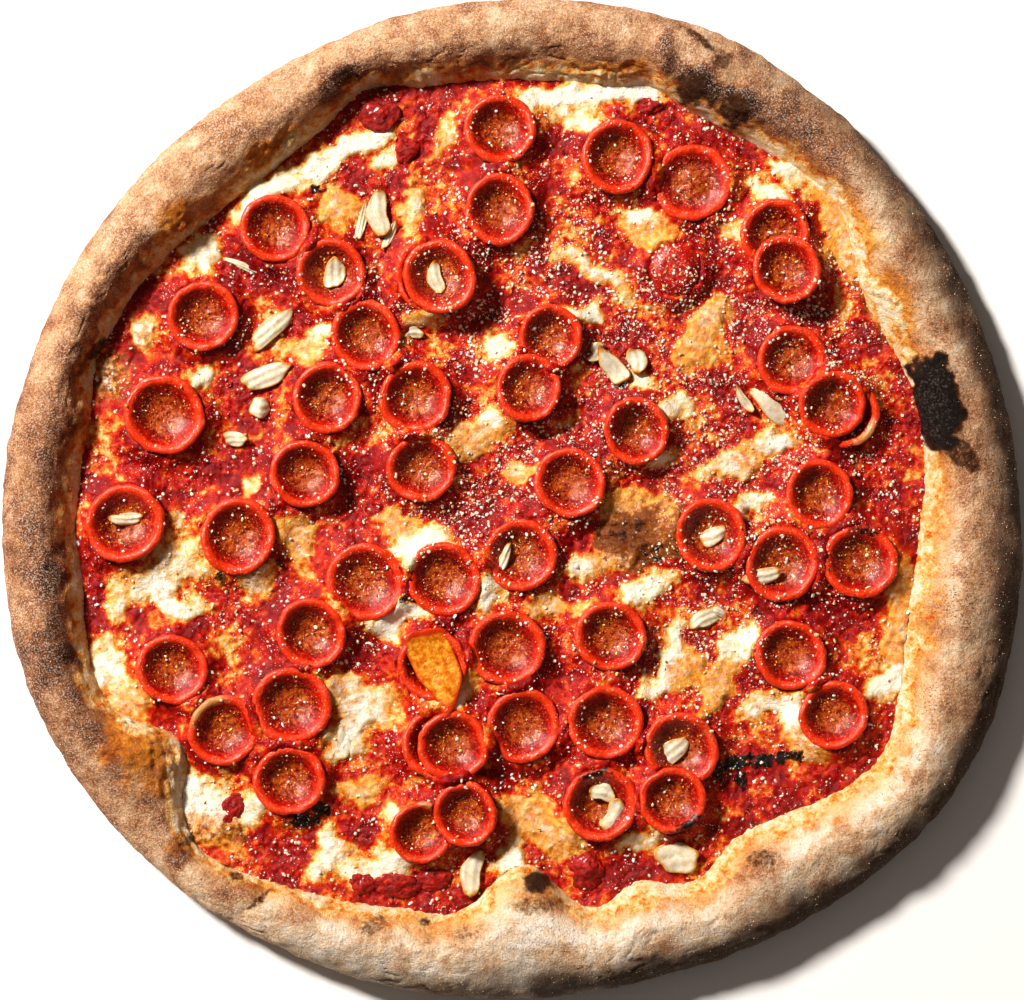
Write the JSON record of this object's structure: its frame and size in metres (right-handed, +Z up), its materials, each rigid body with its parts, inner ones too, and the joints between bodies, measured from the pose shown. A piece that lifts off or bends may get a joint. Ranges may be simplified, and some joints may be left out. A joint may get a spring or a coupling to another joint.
{
  "type": "pepperoni pizza",
  "caption": "Whole uncut round pizza with a puffed charred rim, tomato sauce, melted mozzarella, curled pepperoni cups and garlic slices.",
  "frame": {"origin": "on the table, under the middle of the pizza's box", "axes": "+Z up out of the toppings; +Y towards the top of the picture and +X towards its right"},
  "size_m": [0.3574, 0.3504, 0.0225],
  "materials": {
    "baked_crust": "baked wheat dough, floured, browned and charred in spots",
    "sauce_and_cheese": "tomato sauce with melted browned mozzarella and red oil, moist",
    "pepperoni": "cured sausage slice, oily, darker inside, crisp lip",
    "garlic": "roasted garlic slice, translucent, browned at the edge"
  },
  "bodies": {
    "root": {"crust": "baked_crust", "sauce_and_cheese": "sauce_and_cheese", "pepperoni_01": "pepperoni", "pepperoni_02": "pepperoni", "pepperoni_03": "pepperoni", "pepperoni_04": "pepperoni", "pepperoni_05": "pepperoni", "pepperoni_06": "pepperoni", "pepperoni_07": "pepperoni", "pepperoni_08": "pepperoni", "pepperoni_09": "pepperoni", "pepperoni_10": "pepperoni", "pepperoni_11": "pepperoni", "pepperoni_12": "pepperoni", "pepperoni_13": "pepperoni", "pepperoni_14": "pepperoni", "pepperoni_15": "pepperoni", "pepperoni_16": "pepperoni", "pepperoni_17": "pepperoni", "pepperoni_18": "pepperoni", "pepperoni_19": "pepperoni", "pepperoni_20": "pepperoni", "pepperoni_21": "pepperoni", "pepperoni_22": "pepperoni", "pepperoni_23": "pepperoni", "pepperoni_24": "pepperoni", "pepperoni_25": "pepperoni", "pepperoni_26": "pepperoni", "pepperoni_27": "pepperoni", "pepperoni_28": "pepperoni", "pepperoni_29": "pepperoni", "pepperoni_30": "pepperoni", "pepperoni_31": "pepperoni", "pepperoni_32": "pepperoni", "pepperoni_33": "pepperoni", "pepperoni_34": "pepperoni", "pepperoni_35": "pepperoni", "pepperoni_36": "pepperoni", "pepperoni_37": "pepperoni", "pepperoni_38": "pepperoni", "pepperoni_39": "pepperoni", "pepperoni_40": "pepperoni", "pepperoni_41": "pepperoni", "pepperoni_42": "pepperoni", "pepperoni_43": "pepperoni", "pepperoni_44": "pepperoni", "pepperoni_45": "pepperoni", "pepperoni_46": "pepperoni", "pepperoni_47": "pepperoni", "pepperoni_48": "pepperoni", "pepperoni_49": "pepperoni", "pepperoni_50": "pepperoni", "pepperoni_51": "pepperoni", "pepperoni_52": "pepperoni", "pepperoni_53": "pepperoni", "garlic_slice_1": "garlic", "garlic_slice_2": "garlic", "garlic_slice_3": "garlic", "garlic_slice_4": "garlic", "garlic_slice_5": "garlic"}
  },
  "joints": []
}
